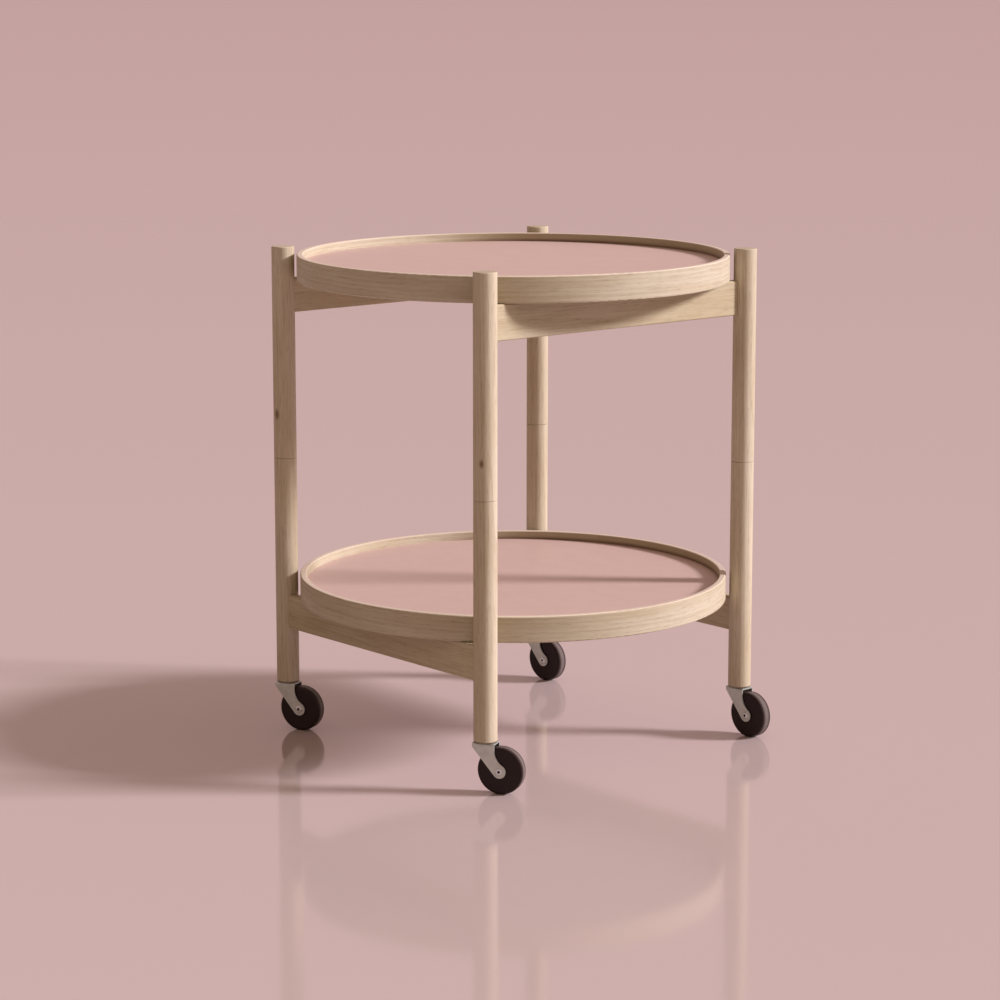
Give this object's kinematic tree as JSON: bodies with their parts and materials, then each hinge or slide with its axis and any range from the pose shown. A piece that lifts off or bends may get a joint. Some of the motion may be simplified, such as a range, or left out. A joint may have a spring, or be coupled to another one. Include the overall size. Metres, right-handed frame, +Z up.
{
  "type": "folding tray table",
  "caption": "Folding tray table: round wooden trays with laminate floors, one above the other, in a frame of round legs and rails that rolls on swivel casters.",
  "frame": {"origin": "on the floor under the middle of the trays", "axes": "+Z up; +Y along the upper rails, from the front leg to the right leg; +X along the lower rails, from the left leg to the front leg"},
  "size_m": [0.5, 0.5, 0.575],
  "materials": {
    "leg_wood": "oiled pale oak",
    "rail_wood": "oiled pale oak",
    "rim_wood": "bent pale oak, oiled",
    "panel_core": "plain board",
    "tray_laminate": "matt dusty pink laminate",
    "fork_steel": "satin zinc plate",
    "pin_steel": "bright turned",
    "wheel_rubber": "smooth solid rubber"
  },
  "bodies": {
    "lower_front_frame": {"lower_leg_left": "leg_wood", "lower_leg_front": "leg_wood", "lower_rail_front": "rail_wood", "pivot_pin_left": "pin_steel", "pivot_pin_front": "pin_steel", "caster_socket_left": "pin_steel", "caster_socket_front": "pin_steel"},
    "upper_right_frame": {"upper_leg_front": "leg_wood", "upper_leg_right": "leg_wood", "upper_rail_right": "rail_wood"},
    "upper_left_frame": {"upper_leg_left": "leg_wood", "upper_leg_back": "leg_wood", "upper_rail_left": "rail_wood"},
    "lower_back_frame": {"lower_leg_right": "leg_wood", "lower_leg_back": "leg_wood", "lower_rail_back": "rail_wood", "pivot_pin_right": "pin_steel", "pivot_pin_back": "pin_steel", "caster_socket_right": "pin_steel", "caster_socket_back": "pin_steel"},
    "upper_tray": {"upper_tray_rim": "rim_wood", "upper_tray_core": "panel_core", "upper_tray_top_laminate": "tray_laminate", "upper_tray_underside_laminate": "tray_laminate"},
    "lower_tray": {"lower_tray_rim": "rim_wood", "lower_tray_core": "panel_core", "lower_tray_top_laminate": "tray_laminate", "lower_tray_underside_laminate": "tray_laminate"},
    "front_caster": {"caster_fork_front": "fork_steel", "caster_stem_front": "pin_steel", "caster_axle_front": "pin_steel", "axle_sleeve_front": "pin_steel"},
    "front_wheel": {"caster_wheel_front": "wheel_rubber"},
    "right_caster": {"caster_fork_right": "fork_steel", "caster_stem_right": "pin_steel", "caster_axle_right": "pin_steel", "axle_sleeve_right": "pin_steel"},
    "right_wheel": {"caster_wheel_right": "wheel_rubber"},
    "left_caster": {"caster_fork_left": "fork_steel", "caster_stem_left": "pin_steel", "caster_axle_left": "pin_steel", "axle_sleeve_left": "pin_steel"},
    "left_wheel": {"caster_wheel_left": "wheel_rubber"},
    "back_caster": {"caster_fork_back": "fork_steel", "caster_stem_back": "pin_steel", "caster_axle_back": "pin_steel", "axle_sleeve_back": "pin_steel"},
    "back_wheel": {"caster_wheel_back": "wheel_rubber"}
  },
  "joints": [
    {"name": "fold_front", "type": "hinge", "parent": "lower_front_frame", "child": "upper_right_frame", "pos_m": [0.1824, -0.1956, 0.327], "axis": [0, 0, 1], "range_deg": [-0.8, 0.8]},
    {"name": "fold_left", "type": "hinge", "parent": "lower_front_frame", "child": "upper_left_frame", "pos_m": [-0.1824, -0.1956, 0.327], "axis": [0, 0, 1], "range_deg": [-0.8, 0.8]},
    {"name": "fold_right", "type": "hinge", "parent": "upper_right_frame", "child": "lower_back_frame", "pos_m": [0.1824, 0.1956, 0.327], "axis": [0, 0, 1], "range_deg": [-0.8, 0.8]},
    {"name": "upper_tray_lift", "type": "slide", "parent": "upper_right_frame", "child": "upper_tray", "axis": [0, 0, 1], "range_m": [0, 0.15]},
    {"name": "lower_tray_lift", "type": "slide", "parent": "lower_front_frame", "child": "lower_tray", "axis": [0, 0, 1], "range_m": [0, 0.25]},
    {"name": "front_caster_swivel", "type": "hinge", "parent": "lower_front_frame", "child": "front_caster", "pos_m": [0.1824, -0.1956, 0.057], "axis": [0, 0, 1], "continuous": true},
    {"name": "front_wheel_spin", "type": "hinge", "parent": "front_caster", "child": "front_wheel", "pos_m": [0.19886, -0.1861, 0.0265], "axis": [-0.5, 0.866, 0], "continuous": true},
    {"name": "right_caster_swivel", "type": "hinge", "parent": "lower_back_frame", "child": "right_caster", "pos_m": [0.1824, 0.1956, 0.057], "axis": [0, 0, 1], "continuous": true},
    {"name": "right_wheel_spin", "type": "hinge", "parent": "right_caster", "child": "right_wheel", "pos_m": [0.20139, 0.19626, 0.0265], "axis": [-0.0349, 0.9994, 0], "continuous": true},
    {"name": "left_caster_swivel", "type": "hinge", "parent": "lower_front_frame", "child": "left_caster", "pos_m": [-0.1824, -0.1956, 0.057], "axis": [0, 0, 1], "continuous": true},
    {"name": "left_wheel_spin", "type": "hinge", "parent": "left_caster", "child": "left_wheel", "pos_m": [-0.16504, -0.18787, 0.0265], "axis": [-0.4067, 0.9135, 0], "continuous": true},
    {"name": "back_caster_swivel", "type": "hinge", "parent": "lower_back_frame", "child": "back_caster", "pos_m": [-0.1824, 0.1956, 0.057], "axis": [0, 0, 1], "continuous": true},
    {"name": "back_wheel_spin", "type": "hinge", "parent": "back_caster", "child": "back_wheel", "pos_m": [-0.16351, 0.19759, 0.0265], "axis": [-0.1045, 0.9945, 0], "continuous": true}
  ],
  "couplings": [
    {"joint": "fold_left", "follows": "fold_front", "ratio": 1},
    {"joint": "fold_right", "follows": "fold_front", "ratio": -1}
  ]
}
